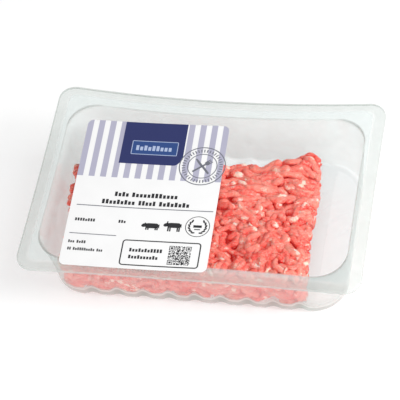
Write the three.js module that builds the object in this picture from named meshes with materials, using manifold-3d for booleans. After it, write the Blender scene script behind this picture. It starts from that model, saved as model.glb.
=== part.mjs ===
// Meat tray pack: a clear thermoformed tray with a ribbed floor, a clear film sealed to its rim,
// a paper label on the film, and a block of minced meat. Millimetres, +Z up, X along the length.
// The origin is the middle of the pack, at the level of its feet.
import * as THREE from 'three';
import Module from 'manifold-3d';

// Tray and rim
const LENGTH = 187; // outside of the rim, along X
const WIDTH = 127; // outside of the rim, along Y
const HEIGHT = 41.6; // top of the rim at its corners
const WALL = 0.8;
const RIM_SAG = 3; // dip of the rim at the middle of the long sides
const SIDE_BOW = 3; // pull inwards at the middle of the long sides
const END_BOW = 0.6; // pull inwards at the middle of the short sides
const RIM_CORNER = 10;
const BAND_DROP = 1; // the outer band slopes down from the seal land by this much
const EDGE_ROUND = 0.8;
const LIP_DROP = 3; // the outer edge turns down to this far below the seal land
const FOOT_ROUND = 1.6;
// Insets from the outside of the rim along X and Y, the shift of the ring's middle along Y, and its corner.
const LAND = { insetX: 7, insetY: 6.3, shift: -0.8, corner: 4.6 };
const MOUTH = { insetX: 9.2, insetY: 10.2, shift: -2.2, corner: 19 };
const FOOT = { insetX: 12, insetY: 14, shift: -2, corner: 18.7 };

// Ribs across the floor
const RIB_COUNT = 9;
const RIB_PITCH = 14.4;
const RIB_WIDTH = 11.2;
const RIB_HEIGHT = 6;
const RIB_END_SHARE = 0.7; // height of a rib where it meets the wall, as a share of its full height
const RIB_RAMP = 5; // length of that lower end
const RIB_FACETS = 6;

// Film and label
const SHEET = 0.3;
const GAP = 0.3; // clearance between a piece and what carries it
const LABEL_WIDTH = 80.1;
const LABEL_DEPTH = 97.8;
const LABEL_CORNER = 3.5;
const LABEL_CENTRE = [-30.6, -8.8];
const LABEL_TURN = 1.8; // degrees

// Block of mince
const HEAP_LEFT = -77;
const HEAP_RIGHT = 61.5;
const HEAP_FRONT = -52;
const HEAP_BACK = 28.5;
const HEAP_CORNER = 12;
const HEAP_FLOOR = 3.6;
const HEAP_TOP = 28.5;
const CORE_SKIN = 2; // how far the core lies inside the block's outline
const STRAND_RADIUS = 2.1;
const STRAND_SIDES = 5;
const STRAND_STEP = 8.5;
const STRAND_SPREAD = 0.7; // range of headings about the row, in radians
const STRAND_BEND = 0.6; // how far a strand turns from its heading, in radians
const STRAND_WAVE = 30; // length over which it turns one way and back
const STRAND_LIFT = 1.1; // height of its middle line over the core
const STRAND_POINTS = 3; // a strand that its face cuts shorter than this is left out
const STRAND_SHORT = 26;
const STRAND_LONG = 44;
const ROW_PITCH = 6.2; // between rows of strands
const PLACE_PITCH = 36; // between strands along a row
const WALL_CLEARANCE = 0.4;
const SEED = 20417;

// Steps of an outline
const ARC_STEPS = 5;
const LONG_STEPS = 10;
const SHORT_STEPS = 4;

const wasm = await Module();
wasm.setup();

// Closed outline of a rounded rectangle, counter-clockwise: each corner is an arc, each side is split evenly.
function roundedOutline(halfX, halfY, corner) {
  const points = [];
  const signs = [[1, 1], [-1, 1], [-1, -1], [1, -1]];
  signs.forEach(([signX, signY], quarter) => {
    const centre = [signX * (halfX - corner), signY * (halfY - corner)];
    for (let step = 0; step <= ARC_STEPS; step += 1) {
      const angle = (quarter + step / ARC_STEPS) * (Math.PI / 2);
      points.push([centre[0] + corner * Math.cos(angle), centre[1] + corner * Math.sin(angle)]);
    }
    const [nextX, nextY] = signs[(quarter + 1) % 4];
    const angle = (quarter + 1) * (Math.PI / 2);
    const end = [
      nextX * (halfX - corner) + corner * Math.cos(angle),
      nextY * (halfY - corner) + corner * Math.sin(angle),
    ];
    const start = points[points.length - 1];
    const steps = quarter % 2 === 0 ? LONG_STEPS : SHORT_STEPS;
    for (let step = 1; step < steps; step += 1) {
      const share = step / steps;
      points.push([start[0] + (end[0] - start[0]) * share, start[1] + (end[1] - start[1]) * share]);
    }
  });
  return points;
}

// Height lost to the rim's dip at a place along the length.
function dip(x, share = 1) {
  return RIM_SAG * share * (1 - (2 * x / LENGTH) ** 2);
}

// One ring of the tray, at a distance inside a named ring, bowed and dipped by its share of the rim's.
function trayRing(base, inside, height, share) {
  const halfX = LENGTH / 2 - base.insetX - inside;
  const halfY = WIDTH / 2 - base.insetY - inside;
  return roundedOutline(halfX, halfY, base.corner - inside).map(([x, y]) => {
    const bowedX = x * (1 - (END_BOW * share / halfX) * (1 - (y / halfY) ** 2));
    const bowedY = y * (1 - (SIDE_BOW * share / halfY) * (1 - (x / halfX) ** 2));
    return [bowedX, bowedY + base.shift, height - dip(bowedX, share)];
  });
}

// Closed body through a row of rings that all have as many points, its two ends closed by fans.
function loft(rings) {
  const count = rings[0].length;
  const points = rings.flat();
  const triangles = [];
  for (let ring = 0; ring + 1 < rings.length; ring += 1) {
    for (let index = 0; index < count; index += 1) {
      const next = (index + 1) % count;
      const a = ring * count + index;
      const b = ring * count + next;
      triangles.push([a, b, b + count], [a, b + count, a + count]);
    }
  }
  [0, rings.length - 1].forEach((ring) => {
    const centre = [0, 1, 2].map((axis) => rings[ring].reduce((sum, point) => sum + point[axis], 0) / count);
    const hub = points.push(centre) - 1;
    for (let index = 0; index < count; index += 1) {
      const a = ring * count + index;
      const b = ring * count + ((index + 1) % count);
      triangles.push(ring === 0 ? [b, a, hub] : [a, b, hub]);
    }
  });
  return solid(points, triangles);
}

// Six times the volume that the triangles enclose, positive when they face outwards.
function signedVolume(points, triangles) {
  return triangles.reduce((sum, [a, b, c]) => {
    const [p, q, r] = [points[a], points[b], points[c]];
    return sum + p[0] * (q[1] * r[2] - q[2] * r[1])
      + p[1] * (q[2] * r[0] - q[0] * r[2])
      + p[2] * (q[0] * r[1] - q[1] * r[0]);
  }, 0);
}

function solid(points, triangles) {
  const outward = signedVolume(points, triangles) > 0;
  const faces = outward ? triangles : triangles.map(([a, b, c]) => [a, c, b]);
  return new wasm.Manifold(new wasm.Mesh({
    numProp: 3,
    vertProperties: Float32Array.from(points.flat()),
    triVerts: Uint32Array.from(faces.flat()),
  }));
}

const RIM = { insetX: 0, insetY: 0, shift: 0, corner: RIM_CORNER };
const MID_HEIGHT = HEIGHT * 0.35;
const MID_SHARE = 0.3;
const MID_SPREAD = 0.9; // how far the wall stands outside its foot at that height

// Outer surface of the walls, from under the seal land down to the feet.
function outerWallRings() {
  return [
    trayRing(MOUTH, -WALL, HEIGHT - WALL, 1),
    trayRing(FOOT, -MID_SPREAD, MID_HEIGHT, MID_SHARE),
    trayRing(FOOT, 0, FOOT_ROUND * 1.5, 0),
    trayRing(FOOT, FOOT_ROUND * 0.3, FOOT_ROUND * 0.35, 0),
    trayRing(FOOT, FOOT_ROUND, 0, 0),
  ];
}

// Inner surface of the walls, from the floor up to the mouth, set in by a further gap where asked.
function innerWallRings(gap = 0) {
  const inner = WALL + gap;
  return [
    trayRing(FOOT, FOOT_ROUND + inner, inner, 0),
    trayRing(FOOT, inner, FOOT_ROUND * 1.8, 0),
    trayRing(FOOT, inner - MID_SPREAD, MID_HEIGHT, MID_SHARE),
    trayRing(MOUTH, 0.2 + gap, HEIGHT - EDGE_ROUND, 1),
  ];
}

// Rim seen from above: the seal land from the mouth outwards, then the sloping band down to the lip.
function rimRings() {
  return [
    trayRing(MOUTH, 0, HEIGHT, 1),
    trayRing(LAND, 0, HEIGHT, 1),
    trayRing(RIM, EDGE_ROUND, HEIGHT - BAND_DROP, 1),
    trayRing(RIM, EDGE_ROUND * 0.3, HEIGHT - BAND_DROP - EDGE_ROUND * 0.5, 1),
    trayRing(RIM, 0, HEIGHT - LIP_DROP, 1),
  ];
}

// Rim seen from below, from the lip in under the band and the seal land.
function underRimRings() {
  return [
    trayRing(RIM, WALL, HEIGHT - LIP_DROP, 1),
    trayRing(RIM, WALL + EDGE_ROUND * 0.5, HEIGHT - BAND_DROP - WALL, 1),
    trayRing(LAND, 0, HEIGHT - WALL, 1),
  ];
}

// A rib as a bar along Y whose section is one hump of a cosine, lower towards both ends.
function rib(centreX, growth) {
  const wallY = WIDTH / 2 - FOOT.insetY;
  const half = RIB_WIDTH / 2 + growth;
  const section = (y, share) => {
    const ring = [[centreX + half, y + FOOT.shift, -1]];
    for (let step = 0; step <= RIB_FACETS; step += 1) {
      const across = 1 - (2 * step) / RIB_FACETS;
      const rise = RIB_HEIGHT * share * (0.5 + 0.5 * Math.cos(Math.PI * across));
      ring.push([centreX + half * across, y + FOOT.shift, growth + rise]);
    }
    ring.push([centreX - half, y + FOOT.shift, -1]);
    return ring;
  };
  return loft([
    section(-wallY - RIB_RAMP, RIB_END_SHARE),
    section(-wallY, RIB_END_SHARE),
    section(-wallY + RIB_RAMP, 1),
    section(wallY - RIB_RAMP, 1),
    section(wallY, RIB_END_SHARE),
    section(wallY + RIB_RAMP, RIB_END_SHARE),
  ]);
}

function ribs(growth) {
  const bars = Array.from({ length: RIB_COUNT }, (_, index) => rib((index - (RIB_COUNT - 1) / 2) * RIB_PITCH, growth));
  return bars.reduce((sum, bar) => sum.add(bar));
}

function makeTray() {
  const shell = loft([...innerWallRings(), ...rimRings(), ...underRimRings(), ...outerWallRings()]);
  const body = loft(outerWallRings());
  const channels = ribs(0);
  const humps = ribs(WALL).subtract(channels).intersect(body);
  return shell.subtract(channels).add(humps);
}

// Thin sheet over a rounded rectangle, made of columns across it, each point put in its place by place().
function sheet(halfX, halfY, corner, place) {
  const columns = roundedOutline(halfX, halfY, corner).slice(0, 2 * (ARC_STEPS + 1) + LONG_STEPS - 1);
  const points = [];
  columns.forEach(([x, y]) => {
    [[-y, 0], [y, 0], [y, SHEET], [-y, SHEET]].forEach(([across, lift]) => {
      const [placedX, placedY, placedZ] = place(x, across);
      points.push([placedX, placedY, placedZ + lift]);
    });
  });
  const triangles = [[0, 1, 2], [0, 2, 3]];
  const last = points.length - 4;
  triangles.push([last, last + 2, last + 1], [last, last + 3, last + 2]);
  for (let column = 0; column < last; column += 4) {
    for (let corner4 = 0; corner4 < 4; corner4 += 1) {
      const a = column + corner4;
      const b = column + ((corner4 + 1) % 4);
      triangles.push([a, a + 4, b + 4], [a, b + 4, b]);
    }
  }
  return solid(points, triangles);
}

// Underside of the film, which follows the rim's dip along the length.
function filmHeight(x) {
  return HEIGHT + GAP - dip(x);
}

function makeFilm() {
  const halfX = LENGTH / 2 - LAND.insetX;
  const halfY = WIDTH / 2 - LAND.insetY;
  return sheet(halfX, halfY, LAND.corner, (x, y) => {
    const bowedY = y * (1 - (SIDE_BOW / halfY) * (1 - (x / halfX) ** 2));
    return [x, bowedY + LAND.shift, filmHeight(x)];
  });
}

function makeLabel() {
  const turn = THREE.MathUtils.degToRad(LABEL_TURN);
  return sheet(LABEL_WIDTH / 2, LABEL_DEPTH / 2, LABEL_CORNER, (x, y) => {
    const placedX = LABEL_CENTRE[0] + x * Math.cos(turn) - y * Math.sin(turn);
    const placedY = LABEL_CENTRE[1] + x * Math.sin(turn) + y * Math.cos(turn);
    return [placedX, placedY, filmHeight(placedX) + SHEET + GAP];
  });
}

// Repeatable draw between 0 and 1.
function makeDraw(seed) {
  let state = seed;
  return () => {
    state = (state + 0x6d2b79f5) | 0;
    let mixed = Math.imul(state ^ (state >>> 15), 1 | state);
    mixed = (mixed + Math.imul(mixed ^ (mixed >>> 7), 61 | mixed)) ^ mixed;
    return ((mixed ^ (mixed >>> 14)) >>> 0) / 4294967296;
  };
}

const HEAP_CENTRE = [(HEAP_LEFT + HEAP_RIGHT) / 2, (HEAP_FRONT + HEAP_BACK) / 2];
const HEAP_HALF = [(HEAP_RIGHT - HEAP_LEFT) / 2, (HEAP_BACK - HEAP_FRONT) / 2];

// Uneven outline of the block: the ends wander, and the back edge waves and swells near its right end.
function uneven(x, y) {
  const endShare = ((x - HEAP_CENTRE[0]) / HEAP_HALF[0]) ** 3;
  const backShare = Math.max(0, (y - HEAP_CENTRE[1]) / HEAP_HALF[1]) ** 3;
  const endWave = 1.2 * Math.sin(y / 8.5 + 1);
  const backWave = 1.8 * Math.sin(x / 8 + 2) + 6 * Math.exp(-(((x - 51) / 9) ** 2));
  return [x + endWave * endShare, y + backWave * backShare];
}

// Height of the core's top, in low waves.
function coreTop(x, y) {
  const swell = 1.5 * Math.sin(x / 13 + 0.5) * Math.cos(y / 11);
  const ripple = 0.8 * Math.sin(x / 7.3 + y / 9.1);
  return HEAP_TOP - CORE_SKIN + swell + ripple;
}

function heapRing(inset, height) {
  const outline = roundedOutline(HEAP_HALF[0] - inset, HEAP_HALF[1] - inset, Math.max(HEAP_CORNER - inset * 0.4, 2));
  return outline.map(([x, y]) => {
    const [placedX, placedY] = uneven(x + HEAP_CENTRE[0], y + HEAP_CENTRE[1]);
    return [placedX, placedY, height ?? coreTop(placedX, placedY)];
  });
}

function makeCore() {
  return loft([
    heapRing(CORE_SKIN + 2, HEAP_FLOOR),
    heapRing(CORE_SKIN, HEAP_FLOOR + 4),
    heapRing(CORE_SKIN + 0.4, HEAP_TOP * 0.55),
    heapRing(CORE_SKIN + 1.6, HEAP_TOP * 0.8),
    heapRing(CORE_SKIN + 5),
    heapRing(CORE_SKIN + 14),
    heapRing(CORE_SKIN + 26),
  ]);
}

// Faces of the block that strands lie on, from the top round to the front: u runs along a face, v across it.
const FACES = [
  {
    spanU: [HEAP_LEFT + 4, HEAP_RIGHT - 4],
    spanV: [HEAP_FRONT + 4, HEAP_BACK - 3],
    outward: new THREE.Vector3(0, 0, 1),
    place: (u, v) => {
      const [x, y] = uneven(u, v);
      return new THREE.Vector3(x, y, coreTop(x, y));
    },
  },
  {
    spanU: [HEAP_FRONT + 8, HEAP_BACK - HEAP_CORNER],
    spanV: [HEAP_FLOOR + 6, HEAP_TOP - 4],
    outward: new THREE.Vector3(1, 0, 0),
    place: (u, v) => new THREE.Vector3(uneven(HEAP_RIGHT - CORE_SKIN - 0.6, u)[0], u, v),
  },
  {
    spanU: [HEAP_FRONT + 8, HEAP_BACK - HEAP_CORNER],
    spanV: [HEAP_FLOOR + 6, HEAP_TOP - 4],
    outward: new THREE.Vector3(-1, 0, 0),
    place: (u, v) => new THREE.Vector3(uneven(HEAP_LEFT + CORE_SKIN + 0.6, u)[0], u, v),
  },
  {
    spanU: [HEAP_LEFT + HEAP_CORNER, HEAP_RIGHT - HEAP_CORNER],
    spanV: [HEAP_FLOOR + 6, HEAP_TOP - 4],
    outward: new THREE.Vector3(0, 1, 0),
    place: (u, v) => new THREE.Vector3(u, uneven(u, HEAP_BACK - CORE_SKIN - 0.6)[1], v),
  },
  {
    spanU: [HEAP_LEFT + HEAP_CORNER, HEAP_RIGHT - HEAP_CORNER],
    spanV: [HEAP_FLOOR + 7, HEAP_TOP - 5],
    outward: new THREE.Vector3(0, -1, 0),
    place: (u, v) => new THREE.Vector3(u, HEAP_FRONT + CORE_SKIN + 0.6, v),
  },
];

// Path of one strand on a face: it wanders about its heading, and its two ends dive into the core.
function strandPath(face, startU, startV, draw) {
  const length = STRAND_SHORT + (STRAND_LONG - STRAND_SHORT) * draw();
  const heading = (draw() - 0.5) * STRAND_SPREAD;
  const bend = STRAND_BEND * (0.4 + draw());
  const wave = STRAND_WAVE * (0.8 + 0.5 * draw());
  const phase = draw() * Math.PI * 2;
  const lift = STRAND_LIFT * (0.5 + draw());
  const steps = Math.round(length / STRAND_STEP);
  const clampTo = (value, [low, high]) => Math.min(Math.max(value, low), high);
  const points = [];
  let u = startU - (length / 2) * Math.cos(heading);
  let v = startV - (length / 2) * Math.sin(heading);
  for (let step = 0; step <= steps; step += 1) {
    const along = step / steps;
    const inside = clampTo(u, face.spanU) === u && clampTo(v, face.spanV) === v;
    if (inside) {
      const rise = lift - 2.6 * (2 * along - 1) ** 6;
      points.push(face.place(u, v).addScaledVector(face.outward, rise));
    }
    const angle = heading + bend * Math.sin((along * length / wave) * Math.PI * 2 + phase);
    u += STRAND_STEP * Math.cos(angle);
    v += STRAND_STEP * Math.sin(angle);
  }
  return points;
}

// Tube with few sides along a path, narrower at both ends.
function strand(path, outward, thickness) {
  const rings = path.map((point, index) => {
    const before = path[Math.max(index - 1, 0)];
    const after = path[Math.min(index + 1, path.length - 1)];
    const forward = after.clone().sub(before).normalize();
    const side = forward.clone().cross(outward).normalize();
    const up = side.clone().cross(forward);
    const end = index === 0 || index === path.length - 1;
    const radius = STRAND_RADIUS * thickness * (end ? 0.65 : 1);
    return Array.from({ length: STRAND_SIDES }, (_, corner) => {
      const angle = ((corner + 0.5) / STRAND_SIDES) * Math.PI * 2;
      const place = point.clone().addScaledVector(side, radius * Math.cos(angle));
      return place.addScaledVector(up, radius * Math.sin(angle)).toArray();
    });
  });
  return loft(rings);
}

function makeStrands() {
  const draw = makeDraw(SEED);
  const strands = [];
  FACES.forEach((face) => {
    const rows = Math.max(1, Math.round((face.spanV[1] - face.spanV[0]) / ROW_PITCH));
    const places = Math.max(1, Math.round((face.spanU[1] - face.spanU[0]) / PLACE_PITCH));
    for (let row = 0; row < rows; row += 1) {
      for (let place = 0; place < places; place += 1) {
        const shareU = (place + 0.5 + 0.5 * (row % 2) + (draw() - 0.5) * 0.5) / (places + 0.5);
        const shareV = (row + 0.5 + (draw() - 0.5) * 0.5) / rows;
        const u = face.spanU[0] + (face.spanU[1] - face.spanU[0]) * shareU;
        const v = face.spanV[0] + (face.spanV[1] - face.spanV[0]) * shareV;
        const path = strandPath(face, u, v, draw);
        const thickness = 0.88 + 0.24 * draw();
        if (path.length >= STRAND_POINTS) {
          strands.push(strand(path, face.outward, thickness));
        }
      }
    }
  });
  return strands;
}

// The largest closed surface of a body, without loose scraps and with the hollows sealed inside it filled.
function largestShell(body) {
  const { numProp, vertProperties, triVerts } = body.getMesh();
  const points = [];
  for (let index = 0; index < vertProperties.length; index += numProp) {
    points.push([...vertProperties.subarray(index, index + 3)]);
  }
  const group = points.map((_, index) => index);
  const root = (index) => {
    let top = index;
    while (group[top] !== top) {
      group[top] = group[group[top]];
      top = group[top];
    }
    return top;
  };
  const shells = new Map();
  for (let index = 0; index < triVerts.length; index += 3) {
    group[root(triVerts[index])] = root(triVerts[index + 1]);
    group[root(triVerts[index + 1])] = root(triVerts[index + 2]);
  }
  for (let index = 0; index < triVerts.length; index += 3) {
    const key = root(triVerts[index]);
    shells.set(key, [...(shells.get(key) ?? []), [...triVerts.subarray(index, index + 3)]]);
  }
  const bySize = [...shells.values()].sort((a, b) => signedVolume(points, b) - signedVolume(points, a));
  const used = new Map();
  const kept = [];
  const triangles = bySize[0].map((corners) => corners.map((corner) => {
    if (!used.has(corner)) {
      used.set(corner, kept.push(points[corner]) - 1);
    }
    return used.get(corner);
  }));
  return solid(kept, triangles);
}

// Core and strands as one body, trimmed to the space that the tray leaves free.
function makeMince() {
  const heap = makeStrands().reduce((sum, piece) => sum.add(piece), makeCore());
  const room = loft(innerWallRings(WALL_CLEARANCE));
  return largestShell(heap.intersect(room).subtract(ribs(WALL + WALL_CLEARANCE)));
}

// Body of a finished solid as a three.js mesh.
function named(name, body, colour, roughness, opacity) {
  const { numProp, vertProperties, triVerts } = body.getMesh();
  const geometry = new THREE.BufferGeometry();
  const positions = new Float32Array((vertProperties.length / numProp) * 3);
  for (let index = 0; index < positions.length / 3; index += 1) {
    positions.set(vertProperties.subarray(index * numProp, index * numProp + 3), index * 3);
  }
  geometry.setAttribute('position', new THREE.BufferAttribute(positions, 3));
  geometry.setIndex(new THREE.BufferAttribute(triVerts, 1));
  geometry.computeVertexNormals();
  const material = new THREE.MeshStandardMaterial({
    color: colour,
    roughness,
    metalness: 0,
    opacity,
    transparent: opacity < 1,
  });
  const mesh = new THREE.Mesh(geometry, material);
  mesh.name = name;
  return mesh;
}

const pack = new THREE.Group();
pack.add(named('tray', makeTray(), 0xdfe5e3, 0.12, 0.3));
pack.add(named('film', makeFilm(), 0xf4f8f8, 0.08, 0.15));
pack.add(named('label', makeLabel(), 0xfbfbfb, 0.55, 1));
pack.add(named('mince', makeMince(), 0xe86b5b, 0.4, 1));

export default pack;
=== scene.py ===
"""Finish of the meat tray pack: clear tray and film, printed paper label, and minced meat.

Shapes are worked out in millimetres in the part's own frame (X along the length, Y to the back, Z up,
feet at Z 0) and become metres when a mesh is made. Label places (a, b) run from the label's middle,
a to its right and b to its top edge.
"""
import math

import bpy
import numpy as np
from mathutils import Matrix, Vector


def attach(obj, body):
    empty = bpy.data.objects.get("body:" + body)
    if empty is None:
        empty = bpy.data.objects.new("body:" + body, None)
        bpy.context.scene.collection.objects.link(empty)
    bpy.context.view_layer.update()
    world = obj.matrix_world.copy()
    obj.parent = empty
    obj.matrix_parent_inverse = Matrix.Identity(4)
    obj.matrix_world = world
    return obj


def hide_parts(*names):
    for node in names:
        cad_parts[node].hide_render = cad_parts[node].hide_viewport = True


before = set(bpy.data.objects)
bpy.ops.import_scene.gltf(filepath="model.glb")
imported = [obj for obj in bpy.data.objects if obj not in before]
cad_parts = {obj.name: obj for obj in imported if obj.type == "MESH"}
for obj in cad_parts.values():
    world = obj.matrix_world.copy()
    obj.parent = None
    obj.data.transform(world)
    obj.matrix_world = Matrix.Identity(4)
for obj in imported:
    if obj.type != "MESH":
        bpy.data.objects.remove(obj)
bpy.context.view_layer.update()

MM = 0.001
BODY = "root"

# View, with angles in degrees
CAMERA_AZIMUTH = 19.1
CAMERA_ELEVATION = 53.3
CAMERA_ROLL = -11.6
CAMERA_DISTANCE = 1078
CAMERA_TARGET = (-9.8, 17.5, 0)
FOCAL_PIXELS = 1903
IMAGE_PIXELS = 400
SENSOR = 36

# Light: strength of the white surround, and two soft square lights with their powers in watts
SURROUND = 0.58
KEY_POWER = 7
KEY_PLACE = (758, -110, 643)
KEY_SIZE = 350
FILL_POWER = 3.4
FILL_PLACE = (60, -1000, 300)
FILL_SIZE = 500
FLOOR_REACH = 3000
FLOOR_TONES = (0.59, 0.6)
FLOOR_GLOW = 0.46

# Tray, as in the solids but with a thinner wall and lower ends of the ribs. Each ring round it is a
# rounded outline: insets from the rim's outside, shift of its middle along Y, corner radius.
LENGTH = 187
WIDTH = 127
HEIGHT = 41.6
RIM_SAG = 3
SIDE_BOW = 3
END_BOW = 0.6
RIM = dict(inset_x=0, inset_y=0, shift=0, corner=10)
LAND = dict(inset_x=7, inset_y=6.3, shift=-0.8, corner=4.6)
MOUTH = dict(inset_x=9.2, inset_y=10.2, shift=-2.2, corner=19)
FOOT = dict(inset_x=12, inset_y=14, shift=-2, corner=18.7)
SHELL = 0.45
MOUTH_INSIDE = 0.1
BAND_DROP = 1
BAND_INSIDE = 0.25
LIP_DROP = 3
LIP_INSIDE = 0.01
MID_HEIGHT = 0.35 * HEIGHT
MID_SHARE = 0.3
MID_SPREAD = 0.9
RIB_COUNT = 9
RIB_PITCH = 14.4
RIB_WIDTH = 11.2
RIB_HEIGHT = 6
RIB_END_SHARE = 0.3
RIB_RAMP = 6
RIB_FADE = 13

# Tray's mesh: length cut off both sides of each bend of its profile, and spacing of its rings
BEND_CUTS = (0, 1.9, 5, 0.9, 1.2, 0.9, 0)
BEND_STEPS = 5
WALL_STEP = 0.9
FLOOR_STEP = 1.25
FLOOR_MIDDLE = 0.3

# Wavy line on the front wall, over the feet, where the mince ends
FOOT_LINE = 5.7
FOOT_WAVE = 3.4

# Haze and grey tint of each part of the tray. The lip, front lip, ridge, feet, arch and bend parts carry
# painted light and shade
PLASTIC = {
    "floor": (0.08, 0),
    "wall": (0.13, 0.07),
    "land": (0.12, 0.12),
    "band": (0.04, 0.24),
    # Painted edge lines: a dark outline on the lip, and a painted pale line on the lip at the front
    "lip": (0, 0.14),
    "front lip": (0.2, 0.06),
    # Painted pale highlight line along the ridge
    "ridge": (0.25, 0),
    # Painted shadow of the floor under the tray, seen through the feet, deeper under each arch
    "feet": (0.1, 0.22),
    "painted_arch_shadow": (0, 0.28),
    # Painted pale highlight line along the bend over the feet
    "bend": (0.35, 0),
}

# Clear plastic: tints of light that goes through it, shade and gloss at a low angle, and a painted dark line
# at the mouth for the refraction in its bend
CLEAR = (0.988, 0.998, 0.999, 1)
SMOKE = (0.58, 0.625, 0.585, 1)
EDGE_SHADE = 0.6
GLANCE = 0.5
MOUTH_PAINTED_LINE = (0.42, 0.42, 0.39, 1)
LINE_WIDTH = 0.2
LINE_LEAST = 0.35

# Film, with a fan of short creases at its front right, whose crests carry painted pale streaks of light
FILM_LIFT = 0.12
FILM = 0.1
FILM_WAVE = 0.05
FILM_HAZE = 0.004
CREASE_CENTRE = (77, -18)
CREASE_TURN = math.radians(40)
CREASE_REACH = (6, 22)
CREASE_PITCH = 9
CREASE_CURVE = 0.015
CREASE_HEIGHT = 0.12
CREASE_PAINTED_STREAK = 0.12

# Label
LABEL_LIFT = 0.1
PAPER = 0.12
INK = 0.025
INK_GAP = 0.005
LABEL_WIDTH = 80.1
LABEL_DEPTH = 97.8
LABEL_CORNER = 3.5
LABEL_CENTRE = (-30.6, -8.8)
LABEL_TURN = math.radians(1.8)

# Print, in label places. A mark is given by its centre, a field as left, right, low, high; the panel ends
# at the label's top edge, and the code is left, low, size. The seal's sprays lie on a circle of their own.
STRIPES = 13
STRIPE = 3.3
STRIPE_LOW = 10.1
PANEL = (-18.4, 16.8, 20.1)
PANEL_CUT = 4.5
BADGE = (-12.6, 13, 26.8, 35.9)
STAMP = (28.4, 20.6)
STAMP_OUTER = 12.7
STAMP_INNER = 8.1
TICK_ANGLE = 9
KNIFE_TURN = math.radians(-52)
FORK_TURN = math.radians(38)
SEAL = (31.4, -19.8)
SEAL_RADIUS = 6.5
SPRAY_RADIUS = 4.6
BOX = (-7.3, 34.9, -46.5, -30.7)
LONG_RULE = (-36.7, 38.6, -9.85, -9.35)
SHORT_RULE = (-37.4, -11.8, -28.6, -28.15)
CODE = (18.2, -45, 12)
CODE_CELLS = 29
CODE_FILL = 0.56
CODE_CORNER = 7
PRINT_SEED = 81
ANIMALS = [
    dict(left=0.8, ground=-23.4, size=1, legs=1.1, horns=0),
    dict(left=12.8, ground=-23.7, size=1, legs=2.3, horns=0.7),
]

# Lines of print without letters: left end, lengths of the words, gap, middle, height. Blocks are spaced
# by a share of the height and fill a share of their spacing; some are tall, the others end lower.
NAME_LINES = [(-16.9, (8.2, 25.6), 1.4, -0.9, 3), (-23.2, (18.6, 9.8, 17.1), 1.6, -6.2, 3)]
PRICE_LINES = [(-35.9, (11.3,), 0, -19.2, 1.9), (-12, (4.3,), 0, -18.9, 1.9)]
STORE_LINES = [(-37.1, (3.6, 5.2), 1, -33.7, 1.8), (-36.8, (2.2, 12, 3.4), 0.9, -38.4, 1.8)]
BOX_LINES = [(-3.2, (18.2,), 0, -36.8, 2.3), (-3.1, (16.3,), 0, -41.2, 2.3)]
BADGE_LINE = (-10.2, (20.6,), 0, 31.2, 3.4)
BLOCK_PITCH = 0.7
BLOCK_SHARE = 0.7
TALL_SHARE = 0.35
LOW_TOP = 0.24

# Block of mince, as in the solids but with sharper corners
HEAP_LEFT = -77
HEAP_RIGHT = 61.5
HEAP_FRONT = -52
HEAP_BACK = 28.5
HEAP_CORNER = 7
HEAP_TOP = 28.5
HEAP_CENTRE = np.array([(HEAP_LEFT + HEAP_RIGHT) / 2, (HEAP_FRONT + HEAP_BACK) / 2])
HEAP_HALF = np.array([(HEAP_RIGHT - HEAP_LEFT) / 2, (HEAP_BACK - HEAP_FRONT) / 2])

# How its outline departs from a rounded rectangle, its swell at the back right, and how its sides are cut
LEFT_LEAN = 0.085
LEFT_FRONT = 3.8
RIGHT_FRONT = 1.1
BACK_WAVE = 2
BACK_PITCH = 20
BACK_SWELL = 9
BACK_FALL = 5
SWELL = (53, 27)
SWELL_HEIGHT = 3
UNDERCUT = 4.2

# Room between the mince and the tray's wall, and over its floor, and how deep the core lies in the heap
WALL_GAP = 0.12
SAG = 0.2
CORE_INSET = 4.4
CORE_DEPTH = 3.8

# Strands: their number in each layer, thickness in parts of the radius, and spans that lengths are drawn
# from; how deep each presses in; and the steps, sides and joined pieces of their mesh
STRAND_RADIUS = 2.1
THICKNESS = (0.8, 1.06)
CRUMB_THICKNESS = (0.45, 0.75)
SIDE_STRANDS = 270
TOP_STRANDS = 460
LOOSE_STRANDS = 40
CRUMBS = 90
SIDE_LENGTH = ((7, 13), (0, 8))
TOP_LENGTH = ((8, 17), (0, 13))
CRUMB_LENGTH = ((3, 6),)
STRAND_PRESS = 0.8
STRAND_STEP = 0.95
STRAND_SIDES = 9
STRAND_PIECES = 4

# Unevenness of a strand in parts of its radius, how far apart and how long its fatty spots are, and how
# much paler its upper side and deeper its underside are painted, as light from above
WAIST = 0.1
SWELLING = 0.08
OVAL = 0.1
LUMPS = 0.17
FAT_SPACING = 8
FLECK = (0.9, 3.0)
TOP_PAINTED_LIGHT = 0.45

# Height fields: size of a cell, places drawn for each strand, and lack of height that calls for one
CELL = 0.6
PLACE_TRIES = 30
ENOUGH = 0.5
SEED = 23


def faces_of(index):
    """Quads between neighbouring entries of a grid of vertex numbers, facing up when rows run along X."""
    return np.stack([index[:-1, :-1], index[1:, :-1], index[1:, 1:], index[:-1, 1:]], axis=-1).reshape(-1, 4)


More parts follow.
